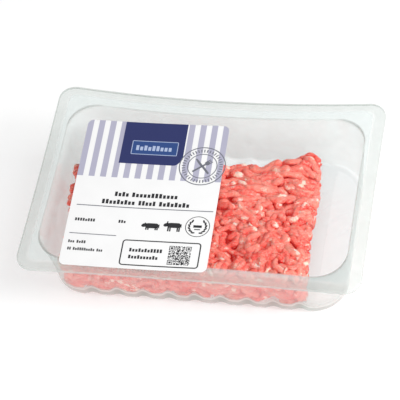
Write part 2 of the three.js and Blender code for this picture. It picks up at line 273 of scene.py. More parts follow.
def make_piece(name, points, face_sets, finish, node=None, marks=None, crease=None):
    """Mesh object from points in millimetres and arrays of triangles or quads, riding on the pack."""
    mesh = bpy.data.meshes.new(name)
    corners = np.concatenate([faces.ravel() for faces in face_sets]).astype(np.int32)
    sizes = np.concatenate([np.full(len(faces), faces.shape[1]) for faces in face_sets])
    starts = np.concatenate([[0], np.cumsum(sizes)[:-1]]).astype(np.int32)
    mesh.vertices.add(len(points))
    mesh.vertices.foreach_set("co", (np.asarray(points) * MM).astype(np.float32).ravel())
    mesh.loops.add(len(corners))
    mesh.loops.foreach_set("vertex_index", corners)
    mesh.polygons.add(len(sizes))
    mesh.polygons.foreach_set("loop_start", starts)
    mesh.update(calc_edges=True)
    mesh.shade_smooth()
    if crease is not None:
        mesh.set_sharp_from_angle(angle=math.radians(crease))
    for key, values in (marks or {}).items():
        layer = mesh.attributes.new(key, "FLOAT", "POINT")
        layer.data.foreach_set("value", values.astype(np.float32).ravel())
    mesh.materials.append(finish)
    piece = bpy.data.objects.new(name, mesh)
    bpy.context.scene.collection.objects.link(piece)
    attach(piece, BODY)
    if node:
        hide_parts(node)
    return piece


def slab(upper, lower, wrap=False):
    """Closed body between two grids of one size: both grids and the wall round their edge."""
    rows, columns = upper.shape[:2]
    count = rows * columns
    index = np.arange(count).reshape(rows, columns)
    if wrap:
        around = np.concatenate([index, index[:1]])
        edges = [around[:, 0], around[::-1, -1]]
    else:
        around = index
        edges = [np.concatenate([index[:, 0], index[-1, 1:], index[-2::-1, -1], index[0, -2::-1]])]
    top = faces_of(around)
    walls = [np.stack([e[:-1] + count, e[1:] + count, e[1:], e[:-1]], axis=1) for e in edges]
    points = np.concatenate([upper.reshape(-1, 3), lower.reshape(-1, 3)])
    return points, np.concatenate([top, top[:, ::-1] + count, *walls])


def joined(bodies):
    """One set of points and quads from several bodies."""
    shift = np.cumsum([0] + [len(points) for points, _ in bodies[:-1]])
    points = np.concatenate([points for points, _ in bodies])
    return points, np.concatenate([quads + start for (_, quads), start in zip(bodies, shift)])


def smooth_step(value, low, high):
    """0 below low, 1 above high, and the cubic ease between them."""
    share = np.clip((value - low) / (high - low), 0, 1)
    return share * share * (3 - 2 * share)


def bell(value, width):
    """Bell curve of height 1: falls to about a third at one width from its middle."""
    return np.exp(-((value / width) ** 2))


def outline(side_long, side_short, arc):
    """Rounded rectangle from the middle of its right end, counter-clockwise, as two factors for each point:
    the point is factor one times (half size - corner) plus factor two times the corner radius. A half side
    and an arc are split in as many steps as given."""
    centres, normals = [], []
    quarter = [(1, 1), (-1, 1), (-1, -1), (1, -1)]
    ends = np.linspace(0, 1, side_short + 1)
    centres.append(np.stack([np.ones(side_short), ends[:-1]], axis=1))
    normals.append(np.tile([1.0, 0.0], (side_short, 1)))
    for number, (sign_x, sign_y) in enumerate(quarter):
        angle = (number + np.arange(arc) / arc) * (math.pi / 2)
        centres.append(np.tile([float(sign_x), float(sign_y)], (arc, 1)))
        normals.append(np.stack([np.cos(angle), np.sin(angle)], axis=1))
        steps = 2 * side_long if number % 2 == 0 else 2 * side_short
        if number == 3:
            steps = side_short
        share = np.linspace(0, 1, steps + 1)[:-1]
        next_x, next_y = quarter[(number + 1) % 4] if number < 3 else (1, 0)
        side = [sign_x + (next_x - sign_x) * share, sign_y + (next_y - sign_y) * share]
        centres.append(np.stack(side, axis=1))
        facing = (number + 1) * (math.pi / 2)
        normals.append(np.tile([math.cos(facing), math.sin(facing)], (steps, 1)))
    return np.concatenate(centres), np.concatenate(normals)


def fill_ring(ring):
    """Quads and two end triangles across a ring that is symmetric about X, facing up."""
    half = len(ring) // 2
    upper = ring[1:half]
    lower = ring[:half:-1]
    quads = np.stack([upper[:-1], upper[1:], lower[1:], lower[:-1]], axis=1)
    ends = np.array([[ring[0], upper[0], lower[0]], [ring[half], lower[-1], upper[-1]]])
    return quads, ends


def dip(x, share=1):
    """Height lost to the rim's dip: a parabola along the length."""
    return RIM_SAG * share * (1 - (2 * x / LENGTH) ** 2)


def station(base, inside, height, share):
    """Half length, half width, corner, shift, height and share of the dip of one ring of the tray."""
    half_x = LENGTH / 2 - base["inset_x"] - inside
    half_y = WIDTH / 2 - base["inset_y"] - inside
    return np.array([half_x, half_y, base["corner"] - inside, base["shift"], height, share])


def tray_rings(stations, factors):
    """Rings of the tray: the rounded outline of each station, drawn in at the middle of its sides by a
    parabola, and dipped along X."""
    centres, normals = factors
    half_x, half_y, corner, shift, height, share = (stations[:, None, column] for column in range(6))
    x = centres[None, :, 0] * (half_x - corner) + normals[None, :, 0] * corner
    y = centres[None, :, 1] * (half_y - corner) + normals[None, :, 1] * corner
    bowed_x = x * (1 - (END_BOW * share / half_x) * (1 - (y / half_y) ** 2))
    bowed_y = y * (1 - (SIDE_BOW * share / half_y) * (1 - (x / half_x) ** 2))
    return np.stack([bowed_x, bowed_y + shift, height - dip(bowed_x, share)], axis=-1)


def rib_hump(x):
    """Shape of the ribs across them: one hump of a cosine for each rib, from 0 to 1."""
    nearest = np.clip(np.round(x / RIB_PITCH), -(RIB_COUNT // 2), RIB_COUNT // 2) * RIB_PITCH
    across = np.clip(np.abs(x - nearest) / (RIB_WIDTH / 2), 0, 1)
    return 0.5 + 0.5 * np.cos(math.pi * across)


def rib_rise(x, y):
    """Height of the ribs over the floor, lower near both walls, more so than in the solids."""
    wall = WIDTH / 2 - FOOT["inset_y"]
    full = 1 - smooth_step(np.abs(y - FOOT["shift"]), wall - RIB_RAMP, wall)
    return RIB_HEIGHT * (RIB_END_SHARE + (1 - RIB_END_SHARE) * full) * rib_hump(x)


def foot_line(x):
    """Height of the wavy line on the front wall where the mince ends over the feet."""
    return FOOT_LINE + FOOT_WAVE * rib_hump(x)


def rounded_path(stations, cuts, bend_steps, spacing):
    """Path through stations: straight stretches split evenly, each bend a quadratic arc that starts
    and ends one cut away from its station."""
    rows = [stations[0][None]]
    for index in range(1, len(stations)):
        before, here = stations[index - 1], stations[index]
        reach = math.hypot(here[0] - before[0], here[4] - before[4])
        start = before + (here - before) * (cuts[index - 1] / reach)
        end = here - (here - before) * (cuts[index] / reach)
        steps = max(1, math.ceil((reach - cuts[index - 1] - cuts[index]) / spacing))
        share = np.linspace(0, 1, steps + 1)[1:, None]
        rows.append(start + (end - start) * share)
        if index + 1 < len(stations):
            after = stations[index + 1]
            onward = math.hypot(after[0] - here[0], after[4] - here[4])
            leave = here + (after - here) * (cuts[index] / onward)
            t = np.linspace(0, 1, bend_steps + 1)[1:, None]
            rows.append((1 - t) ** 2 * end + 2 * t * (1 - t) * here + t**2 * leave)
    return np.concatenate(rows)


def facing_up(rings):
    """Unit normal at each point of a row of rings, the cross product of the steps across and round."""
    around = np.roll(rings, -1, axis=1) - np.roll(rings, 1, axis=1)
    across = np.gradient(rings, axis=0)
    normal = np.cross(across, around)
    return normal / np.linalg.norm(normal, axis=-1, keepdims=True)


def tray_profile():
    """Stations of the tray's upper surface, from near the middle of the floor out to the lip's edge: even
    insets of the foot's outline with ever sharper corners, then a path with rounded bends."""
    foot = station(FOOT, SHELL, SHELL, 0)
    rings = int(foot[1] / FLOOR_STEP) - 1
    inset = np.linspace(foot[1] - FLOOR_MIDDLE, FLOOR_STEP * 2, rings)[:, None]
    floor = np.repeat(foot[None], rings, axis=0)
    floor[:, 0:2] -= inset
    floor[:, 2] = np.clip(floor[:, 2] - inset[:, 0] * 0.6, 0.15, floor[:, 1] - 0.02)
    bends = [
        floor[-1],
        foot,
        station(FOOT, SHELL - MID_SPREAD, MID_HEIGHT, MID_SHARE),
        station(MOUTH, MOUTH_INSIDE, HEIGHT, 1),
        station(LAND, 0, HEIGHT, 1),
        station(RIM, BAND_INSIDE, HEIGHT - BAND_DROP, 1),
        station(RIM, LIP_INSIDE, HEIGHT - LIP_DROP, 1),
    ]
    wall = rounded_path(bends, BEND_CUTS, BEND_STEPS, WALL_STEP)[1:]
    return np.concatenate([floor, wall])


def tray_marks(stations, points, normals):
    """Three marks for each point: haze, the share of light that the plastic scatters; shade, the share of
    its grey tint; and a dark line along the mouth's bend, darkest at its corners, painted for the refraction
    in the bend. Haze and shade are sums over the tray's parts: how far the point belongs to a part, by eased
    steps in millimetres about the part's edges, times the part's own value. Some parts carry painted light
    and shade: a painted pale highlight line on the ridge and on the bend over the feet, a painted dark
    outline on the lip that is a painted pale line at the front, and painted shadow of the floor under the
    tray on the feet, deeper under each arch. The feet and what is over them are marked only at the front,
    where they are seen from outside."""
    out, height = stations[:, 1, None], stations[:, 4, None]
    x, y, z = np.moveaxis(points, -1, 0)
    front = smooth_step(-y, 32, 50)
    mouth, ridge, foot = (WIDTH / 2 - ring["inset_y"] for ring in (MOUTH, LAND, FOOT))
    wall = smooth_step(height, 0.6, 3)
    land = smooth_step(out, mouth - 1, mouth + 1) * wall
    band = smooth_step(out, ridge + 0.3, ridge + 1.6) * wall
    lip = smooth_step(HEIGHT - height, BAND_DROP + 0.2, LIP_DROP - 0.6) * smooth_step(out, ridge, ridge + 2)
    over = z - foot_line(x)
    # Front zone of the feet, which carries painted shadow
    feet = smooth_step(out, foot - 9, foot - 2) * (1 - smooth_step(over, -1.2, 0.4)) * front
    shares = {
        "floor": 1,
        "wall": wall - land,
        "land": land - band,
        "band": band,
        # Painted dark outline on the lip, and a painted pale line on it at the front
        "lip": lip * (1 - front),
        "front lip": lip * front,
        # Painted pale highlight line on the ridge, not at the front
        "ridge": bell(out - ridge - 0.45, 0.4) * wall * (1 - front),
        # Painted shadow on the feet, deeper under each arch
        "feet": feet,
        "painted_arch_shadow": feet * rib_hump(x),
        # Painted pale highlight line along the bend over the feet
        "bend": bell(over, 0.6) * smooth_step(out, foot - 2, foot) * front,
    }
    haze = sum(share * PLASTIC[part][0] for part, share in shares.items())
    shade = sum(share * PLASTIC[part][1] for part, share in shares.items())
    # Painted dark line along the mouth's bend, darkest at its corners, for its refraction
    corner = np.sqrt(2 * np.abs(normals[:, 0] * normals[:, 1]))
    line = bell(out - mouth, LINE_WIDTH) * wall * (LINE_LEAST + (1 - LINE_LEAST) * corner)
    return {"haze": haze, "shade": shade, "line": line}


def make_tray(finish):
    """Thin closed shell: rings from the floor out to the lip, raised over the ribs, offset for its wall."""
    stations = tray_profile()
    factors = outline(side_long=70, side_short=30, arc=14)
    upper = tray_rings(stations, factors)
    fade = 1 - smooth_step(upper[..., 2], 1, RIB_FADE)
    upper[..., 2] += rib_rise(upper[..., 0], upper[..., 1]) * fade
    lower = upper - SHELL * facing_up(upper)
    rows, count = upper.shape[:2]
    total = rows * count
    index = np.arange(total).reshape(rows, count)
    around = np.concatenate([index, index[:, :1]], axis=1)
    quads, ends = fill_ring(index[0])
    inner = np.concatenate([faces_of(around), quads])
    edge = around[-1]
    lip = np.stack([edge[:-1] + total, edge[1:] + total, edge[1:], edge[:-1]], axis=1)
    faces = np.concatenate([inner, inner[:, ::-1] + total, lip])
    triangles = np.concatenate([ends, ends[:, ::-1] + total])
    points = np.concatenate([upper.reshape(-1, 3), lower.reshape(-1, 3)])
    one_side = tray_marks(stations, upper, factors[1])
    marks = {key: np.tile(values.ravel(), 2) for key, values in one_side.items()}
    return make_piece("tray_shell", points, [faces, triangles], finish, "tray", marks)


def sheet_columns(half_x, half_y, corner, columns, rows, arc=8):
    """Grid over a rounded rectangle: columns across it, closer at the rounded ends, each split in rows."""
    bend = np.linspace(0, math.pi / 2, arc + 1)
    end_x = half_x - corner + corner * np.sin(bend)
    end_y = half_y - corner + corner * np.cos(bend)
    middle = np.linspace(-(half_x - corner), half_x - corner, columns + 1)[1:-1]
    x = np.concatenate([-end_x[::-1], middle, end_x])
    reach = np.concatenate([end_y[::-1], np.full(len(middle), half_y), end_y])
    across = np.linspace(-1, 1, rows + 1)
    return np.stack([np.repeat(x[:, None], rows + 1, axis=1), reach[:, None] * across[None]], axis=-1)


def creases(x, y):
    """Fan of short soft creases at the front right: their wave, a sine across them whose phase grows with
    the square of the place along them, and how strong it is at a place, a bell in both directions."""
    along = (x - CREASE_CENTRE[0]) * math.cos(CREASE_TURN) + (y - CREASE_CENTRE[1]) * math.sin(CREASE_TURN)
    across = (y - CREASE_CENTRE[1]) * math.cos(CREASE_TURN) - (x - CREASE_CENTRE[0]) * math.sin(CREASE_TURN)
    spread = bell(along, CREASE_REACH[0]) * bell(across, CREASE_REACH[1])
    return np.sin(2 * math.pi * across / CREASE_PITCH + CREASE_CURVE * along**2), spread


def film_height(x, y):
    """Upper side of the film: the rim's dip, low waves as a product of a bent sine along and a sine across,
    and the creases."""
    wave = FILM_WAVE * np.sin(x / 9 + 0.7 * np.sin(y / 13)) * np.sin(y / 11 + 1)
    crease, spread = creases(x, y)
    return HEIGHT + FILM_LIFT + FILM - dip(x) + wave + CREASE_HEIGHT * crease * spread


def make_film(finish):
    """Thin film over the land's outline, its long sides drawn in by a parabola like the rim's."""
    half_x = LENGTH / 2 - LAND["inset_x"]
    half_y = WIDTH / 2 - LAND["inset_y"]
    flat = sheet_columns(half_x, half_y, LAND["corner"], columns=120, rows=90)
    x = flat[..., 0]
    y = flat[..., 1] * (1 - (SIDE_BOW / half_y) * (1 - (x / half_x) ** 2)) + LAND["shift"]
    upper = np.stack([x, y, film_height(x, y)], axis=-1)
    lower = upper - [0, 0, FILM]
    points, quads = slab(upper, lower)
    # Painted pale streaks of light in the haze along the crease crests
    wave, spread = creases(x, y)
    haze = FILM_HAZE + CREASE_PAINTED_STREAK * spread * np.maximum(wave, 0) ** 2
    marks = {"haze": np.tile(haze.ravel(), 2)}
    return make_piece("film_sheet", points, [quads], finish, "film", marks, crease=40)


def on_label(flat, lift):
    """Label places (a, b) as points on the pack, at a lift over the film."""
    x = LABEL_CENTRE[0] + flat[..., 0] * math.cos(LABEL_TURN) - flat[..., 1] * math.sin(LABEL_TURN)
    y = LABEL_CENTRE[1] + flat[..., 0] * math.sin(LABEL_TURN) + flat[..., 1] * math.cos(LABEL_TURN)
    return np.stack([x, y, film_height(x, y) + lift], axis=-1)


def make_label(finish):
    """Paper sheet with rounded corners, following the film."""
    flat = sheet_columns(LABEL_WIDTH / 2, LABEL_DEPTH / 2, LABEL_CORNER, columns=40, rows=48)
    points, quads = slab(on_label(flat, LABEL_LIFT + PAPER), on_label(flat, LABEL_LIFT))
    return make_piece("label_sheet", points, [quads], finish, "label", crease=40)


def turned(flat, centre, turn):
    """Places turned about the middle of a mark and moved to its centre."""
    a = flat[..., 0] * math.cos(turn) - flat[..., 1] * math.sin(turn) + centre[0]
    b = flat[..., 0] * math.sin(turn) + flat[..., 1] * math.cos(turn) + centre[1]
    return np.stack([a, b], axis=-1)


def patch(a, low, high, centre=(0, 0), turn=0.0, rows=2):
    """Grid of label places between two edges, given at each step along a."""
    share = np.linspace(0, 1, rows)
    low = np.broadcast_to(low, a.shape)
    high = np.broadcast_to(high, a.shape)
    b = low[:, None] + (high - low)[:, None] * share[None]
    flat = np.stack([np.repeat(a[:, None], rows, axis=1), b], axis=-1)
    return turned(flat, centre, turn), False


def bar(left, right, low, high, centre=(0, 0), turn=0.0):
    """Rectangle with a step every 4 millimetres along and 8 across, so that it follows the label."""
    steps = max(2, math.ceil((right - left) / 4) + 1)
    rows = max(2, math.ceil((high - low) / 8) + 1)
    return patch(np.linspace(left, right, steps), low, high, centre, turn, rows)


def disc(radius_a, radius_b, centre, turn=0.0, steps=16):
    """Ellipse as columns between its lower and upper half, blunt by a sliver at both ends."""
    angle = np.linspace(0.06, math.pi - 0.06, steps)
    reach = radius_b * np.sin(angle)
    return patch(-radius_a * np.cos(angle), -reach, reach, centre, turn)


def ring_mark(radius, width, centre, steps=72):
    """Thin circle: points at two radii round its centre, clockwise so that it faces up."""
    angle = np.linspace(0, 2 * math.pi, steps, endpoint=False)
    radii = np.array([radius + width / 2, radius - width / 2])
    flat = np.stack([np.cos(angle)[:, None] * radii, np.sin(angle)[:, None] * radii], axis=-1)
    return flat + np.array(centre), True


def frame_mark(left, right, low, high, corner, width):
    """Outline of a rounded rectangle with a line of one width."""
    centres, normals = outline(side_long=6, side_short=3, arc=5)
    middle = np.array([(left + right) / 2, (low + high) / 2])
    half = np.array([(right - left) / 2, (high - low) / 2])
    rings = [centres * (half - corner) + normals * (corner + side * width / 2) + middle for side in (1, -1)]
    return np.stack(rings, axis=1), True


def words(left, lengths, gap, middle, height, rng):
    """Line of print without letters: each word a row of small blocks, the first and some others taller."""
    marks = []
    for length in lengths:
        count = max(2, round(length / (BLOCK_PITCH * height)))
        pitch = length / count
        for number in range(count):
            start = left + number * pitch
            tall = number == 0 or rng.random() < TALL_SHARE
            top = middle + (height / 2 if tall else height * LOW_TOP)
            marks.append(bar(start, start + pitch * BLOCK_SHARE, middle - height / 2, top))
        left += length + gap
    return marks


def stripe_marks():
    """Upright stripes down from the label's top edge, the outer two cut by its rounded corners."""
    pitch = (LABEL_WIDTH - STRIPE) / (STRIPES - 1)
    marks = []
    for number in range(STRIPES):
        left = -LABEL_WIDTH / 2 + number * pitch
        a = np.linspace(left, left + STRIPE, 9)
        over = np.clip(np.abs(a) - (LABEL_WIDTH / 2 - LABEL_CORNER), 0, LABEL_CORNER - 0.02)
        top = LABEL_DEPTH / 2 - LABEL_CORNER + np.sqrt(LABEL_CORNER**2 - over**2)
        marks.append(patch(a, STRIPE_LOW, top, rows=6))
    return marks


def panel_marks():
    """Dark panel at the label's top edge. A parabola rounds off its lower right corner."""
    left, right, low = PANEL
    cut = right - PANEL_CUT
    a = np.concatenate([np.linspace(left, cut, 10), np.linspace(cut, right, 5)[1:]])
    floor = low + np.clip(a - cut, 0, None) ** 2 / PANEL_CUT
    return [patch(a, floor, LABEL_DEPTH / 2, rows=5)]


def cutlery_marks():
    """Knife and fork crossed in the stamp, each drawn along a line that is then turned: a blade with the
    width of a sine and a handle, and a handle, a bowl on its line and three tines."""
    along = np.linspace(-6.2, 0.3, 9)
    width = 0.35 + 0.35 * np.sin(np.linspace(0.2, math.pi * 0.75, 9))
    blade = patch(along, -width * 1.2, width * 0.7, STAMP, KNIFE_TURN)
    knife = [blade, bar(0.1, 6.4, -0.6, 0.6, STAMP, KNIFE_TURN)]
    bowl = disc(1.4, 1.35, (STAMP[0] + 2.6, STAMP[1] + 2.03), FORK_TURN)
    fork = [bar(-6.4, 2.6, -0.55, 0.55, STAMP, FORK_TURN), bowl]
    for offset in (-1, 0, 1):
        fork.append(bar(3.1, 6.2, offset - 0.27, offset + 0.27, STAMP, FORK_TURN))
    return knife + fork


def tick_marks():
    """Ring of short radial dashes between the stamp's two circles."""
    middle = (STAMP_OUTER + STAMP_INNER) / 2
    turns = np.radians(np.arange(0, 360, TICK_ANGLE))
    return [bar(middle - 0.95, middle + 0.95, -0.28, 0.28, STAMP, turn) for turn in turns]


def animal_marks(left, ground, size, legs, horns):
    """Plain silhouette of a four-legged animal facing left, in parts of its size from its left end: body
    with blunt ends, head, ear or horns, legs and tail."""
    belly = ground + legs
    middle = belly + 1.6 * size
    a = np.linspace(left + 2 * size, left + 9.6 * size, 16)
    blunt = np.sqrt(np.clip(1 - np.linspace(-1, 1, 16) ** 6, 0.05, 1))
    head = (left + 1.6 * size, middle + 0.3 * size)
    ear_top = middle + (1.9 + horns) * size
    marks = [
        patch(a, middle - 1.55 * size * blunt, middle + 1.7 * size * blunt),
        disc(1.7 * size, 1.15 * size, head, math.radians(22)),
        bar(left + 1.7 * size, left + 2.4 * size, middle + 0.8 * size, ear_top),
    ]
    for place in (2.4, 3.5, 7.5, 8.5):
        marks.append(bar(left + place * size, left + (place + 0.8) * size, ground, belly + size))
    marks.append(bar(left + 9.5 * size, left + 9.9 * size, middle - 1.4 * size, middle + 1.1 * size))
    return marks


def seal_marks():
    """Thin circle with two sprays of six leaves each, and two small bars in its middle."""
    marks = [ring_mark(SEAL_RADIUS, 0.4, SEAL)]
    lowest = math.radians(62)
    for side in (1, -1):
        for number in range(6):
            angle = math.radians(22) * number - lowest
            away = side * SPRAY_RADIUS * math.cos(angle)
            place = (SEAL[0] + away, SEAL[1] + SPRAY_RADIUS * math.sin(angle))
            lean = angle + lowest if side > 0 else math.pi - angle - lowest
            marks.append(disc(1.15, 0.5, place, lean, 10))
    marks.append(bar(-2.3, 2.3, -0.7, 0.9, SEAL))
    marks.append(bar(-1.6, 1.6, -2.2, -1.6, SEAL))
    return marks


def code_marks(rng):
    """Square of seeded blocks with a framed block in three corners, each run of dark cells as one bar."""
    cells = rng.random((CODE_CELLS, CODE_CELLS)) < CODE_FILL
    corner = np.zeros((CODE_CORNER, CODE_CORNER), bool)
    corner[[0, -1], :] = True
    corner[:, [0, -1]] = True
    corner[2:-2, 2:-2] = True
    far = CODE_CELLS - CODE_CORNER
    for row, column in ((0, 0), (0, far), (far, 0)):
        cells[max(row - 1, 0):row + CODE_CORNER + 1, max(column - 1, 0):column + CODE_CORNER + 1] = False
        cells[row:row + CODE_CORNER, column:column + CODE_CORNER] = corner
    left, low, size = CODE
    cell = size / CODE_CELLS
    marks = []
    for row in range(CODE_CELLS):
        high = low + size - row * cell
        edges = np.flatnonzero(np.diff(np.concatenate([[0], cells[row].astype(int), [0]])))
        for start, end in edges.reshape(-1, 2):
            marks.append(bar(left + start * cell, left + end * cell, high - cell * 0.98, high))
    return marks


def make_print(finishes):
    """Each ink of the label as one joined body. Layer 0 lies on the paper, and each next layer on the one
    below it."""
    rng = np.random.default_rng(PRINT_SEED)
    lines = NAME_LINES + PRICE_LINES + STORE_LINES + BOX_LINES
    black = [
        *[mark for line in lines for mark in words(*line, rng)],
        frame_mark(*BOX, corner=1.6, width=0.7),
        *[mark for animal in ANIMALS for mark in animal_marks(**animal)],
        *seal_marks(),
        *code_marks(rng),
    ]
    grey = [
        bar(*LONG_RULE),
        bar(*SHORT_RULE),
        ring_mark(STAMP_OUTER, 0.55, STAMP),
        ring_mark(STAMP_INNER, 0.45, STAMP),
        *cutlery_marks(),
        *tick_marks(),
    ]
    inks = {
        "lavender": (stripe_marks(), 0),
        "navy": (panel_marks(), 1),
        "blue": ([bar(*BADGE)], 2),
        "pale": ([frame_mark(*BADGE, corner=0.5, width=0.4), *words(*BADGE_LINE, rng)], 3),
        "grey": (grey, 2),
        "black": (black, 0),
    }
    for ink, (marks, layer) in inks.items():
        base = LABEL_LIFT + PAPER + INK_GAP + layer * INK
        bodies = [slab(on_label(flat, base + INK), on_label(flat, base), wrap) for flat, wrap in marks]
        points, quads = joined(bodies)
        make_piece(f"label_print_{ink}", points, [quads], finishes[ink], crease=40)


def uneven(x, y):
    """Places of the heap's even outline moved to its uneven one. The left end leans by a share of y, both
    ends wave and stand out at their front corners, and the back edge waves, swells near the right corner
    and falls back at the left. Each grows with the cube of the place between the middle and its edge."""
    end_share = ((x - HEAP_CENTRE[0]) / HEAP_HALF[0]) ** 3
    left_share = np.maximum(0, -end_share)
    right_share = np.maximum(0, end_share)
    back_share = np.maximum(0, (y - HEAP_CENTRE[1]) / HEAP_HALF[1]) ** 3
    front = smooth_step(-y, 34, 50)
    left = 0.2 - LEFT_LEAN * y + 0.7 * np.sin(y / 4) - LEFT_FRONT * front
    right = 0.5 * np.sin(y / 6 + 1) + RIGHT_FRONT * front
    wave = BACK_WAVE * np.cos(2 * math.pi * (x - 18) / BACK_PITCH) * (1 - smooth_step(x, 30, 40))
    back = -3 + wave + BACK_SWELL * bell(x - SWELL[0], 11) - BACK_FALL * smooth_step(-x, 20, 70)
    return np.stack([x + left * left_share + right * right_share, y + back * back_share], axis=-1)


def heap_top(x, y):
    """Height of the heap's top: two low waves, 1.4 and 0.8 high, and a swell at the back right corner."""
    waves = 1.4 * np.sin(x / 13 + 0.5) * np.cos(y / 11) + 0.8 * np.sin(x / 7.3 + y / 9.1)
    swell = SWELL_HEIGHT * bell(x - SWELL[0], 13) * bell(y - SWELL[1], 10)
    return HEAP_TOP - 0.5 + waves + swell


def undercut(y, z, outward):
    """How far the heap's side is drawn in at a height, by a straight line from its top down: nowhere at the
    front wall, and by half at the front of its right end."""
    front_end = smooth_step(outward[..., 0], 0.3, 0.9) * smooth_step(-y, 15, 40)
    share = smooth_step(outward[..., 1], -0.75, -0.1) * (1 - 0.5 * front_end)
    return UNDERCUT * (1 - z / HEAP_TOP) * share


def heap_inset(x, y):
    """How far inside the heap's even outline, a rounded rectangle, a place is."""
    reach_x = np.abs(x - HEAP_CENTRE[0]) - (HEAP_HALF[0] - HEAP_CORNER)
    reach_y = np.abs(y - HEAP_CENTRE[1]) - (HEAP_HALF[1] - HEAP_CORNER)
    far = np.hypot(np.maximum(reach_x, 0), np.maximum(reach_y, 0))
    return HEAP_CORNER - far - np.minimum(np.maximum(reach_x, reach_y), 0)


def rounded_clamp(local, half, corner):
    """Places about a middle moved to the nearest point of a rounded rectangle where they are outside it."""
    reach = np.abs(local) - (half - corner)
    outside = np.maximum(reach, 0)
    distance = np.linalg.norm(outside, axis=-1, keepdims=True)
    pull = np.where(distance > corner, corner / np.maximum(distance, 1e-6), 1)
    return np.sign(local) * np.where(reach > 0, (half - corner) + outside * pull, np.abs(local))


def into_outline(path, inset):
    """Places moved to the nearest point inside the heap's even outline."""
    return HEAP_CENTRE + rounded_clamp(path - HEAP_CENTRE, HEAP_HALF - inset, HEAP_CORNER - inset)


def around_heap(distance):
    """Point and outward direction of the even outline at a distance along it from its right end."""
    centres, normals = outline(side_long=30, side_short=20, arc=24)
    points = centres * (HEAP_HALF - HEAP_CORNER) + normals * HEAP_CORNER + HEAP_CENTRE
    points = np.concatenate([points, points[:1]])
    normals = np.concatenate([normals, normals[:1]])
    along = np.concatenate([[0], np.cumsum(np.linalg.norm(np.diff(points, axis=0), axis=1))])
    place = np.mod(distance, along[-1])
    columns = [np.interp(place, along, values) for values in (*points.T, *normals.T)]
    return np.stack(columns[:2], axis=-1), np.stack(columns[2:], axis=-1)


def keep_in_tray(points):
    """Points pressed flat against the tray's inner wall, the nearest places of its outline at their height,
    and held off its floor and ribs, rising to the wavy line of the feet over the last 7 millimetres before
    a long wall."""
    stations = np.array([
        station(FOOT, SHELL, 3, 0),
        station(FOOT, SHELL - MID_SPREAD, MID_HEIGHT, MID_SHARE),
        station(MOUTH, 0, HEIGHT, 1),
    ])
    x, y, z = points[..., 0], points[..., 1], points[..., 2]
    at_height = [np.interp(z, stations[:, 4], stations[:, column]) for column in (0, 1, 2, 3, 5)]
    half_x, half_y, corner, shift, share = at_height
    bow = 1 - SIDE_BOW * share / half_y * (1 - np.minimum(x / half_x, 1) ** 2)
    local = np.stack([x, (y - shift) / bow], axis=-1)
    half = np.stack([half_x, half_y], axis=-1) - WALL_GAP
    kept = rounded_clamp(local, half, corner[..., None] - WALL_GAP)
    x, y = kept[..., 0], kept[..., 1] * bow + shift
    near_wall = 1 - smooth_step(half_y - np.abs(kept[..., 1]), 1, 7)
    lowest = SHELL + WALL_GAP + np.maximum(rib_rise(x, y), SAG)
    lowest = lowest + (foot_line(x) - lowest) * near_wall
    return np.stack([x, y, np.maximum(z, lowest)], axis=-1)


class Pile:
    """Height field while strands are laid on it, in square cells over two coordinates."""

    def __init__(self, low, high, wrap=False):
        """Level field between two corners; a wrapped one closes on itself along its first coordinate."""
        self.low = np.array(low, float)
        self.shape = np.ceil((np.array(high) - low) / CELL).astype(int) + 1
        self.wrap = wrap
        self.first = self.low[0] + CELL * np.arange(self.shape[0])[:, None]
        self.second = self.low[1] + CELL * np.arange(self.shape[1])[None]
        self.height = np.zeros(self.shape)

    def cells(self, path):
        """Cell of each place; the first coordinate runs round in a wrapped field."""
        at = np.round((path[..., :2] - self.low) / CELL).astype(int)
        rows = np.mod(at[..., 0], self.shape[0]) if self.wrap else np.clip(at[..., 0], 0, self.shape[0] - 1)
        return rows, np.clip(at[..., 1], 0, self.shape[1] - 1)

    def under(self, path, radius):
        """Cells under a strand at each place of its course, and the height of its round side over each."""
        reach = int(radius / CELL)
        steps = np.arange(-reach, reach + 1) * CELL
        offset = np.stack(np.meshgrid(steps, steps, indexing="ij"), axis=-1).reshape(-1, 2)
        square = radius**2 - (offset**2).sum(axis=1)
        near = square > 0
        return self.cells(path[:, None, :2] + offset[None, near]), np.sqrt(square[near])

    def lay(self, path, radius, limit, press):
        """Course of a strand that rests on what is below it, smoothed but no more than 0.7 under that, sunk
        in by a press, and under a limit. Its round back becomes the new height of the field."""
        cells, rise = self.under(path, radius)
        rest = (self.height[cells] + rise).max(axis=1)
        height = smoothed(np.maximum(smoothed(rest, 4), rest - 0.7), 2) - press
        course = np.column_stack([path, np.minimum(height, limit)])
        np.maximum.at(self.height, cells, course[:, 2:3] + rise)
        return course


def smoothed(values, width):
    """Weighted moving average with mirrored ends."""
    width = min(width, (len(values) - 1) // 2)
    if width < 1:
        return values
    kernel = np.hanning(2 * width + 3)[1:-1]
    kernel /= kernel.sum()
    table = values.reshape(len(values), -1)
    padded = np.pad(table, [(width, width), (0, 0)], mode="reflect", reflect_type="odd")
    columns = [np.convolve(column, kernel, mode="valid") for column in padded.T]
    return np.stack(columns, axis=1).reshape(values.shape)


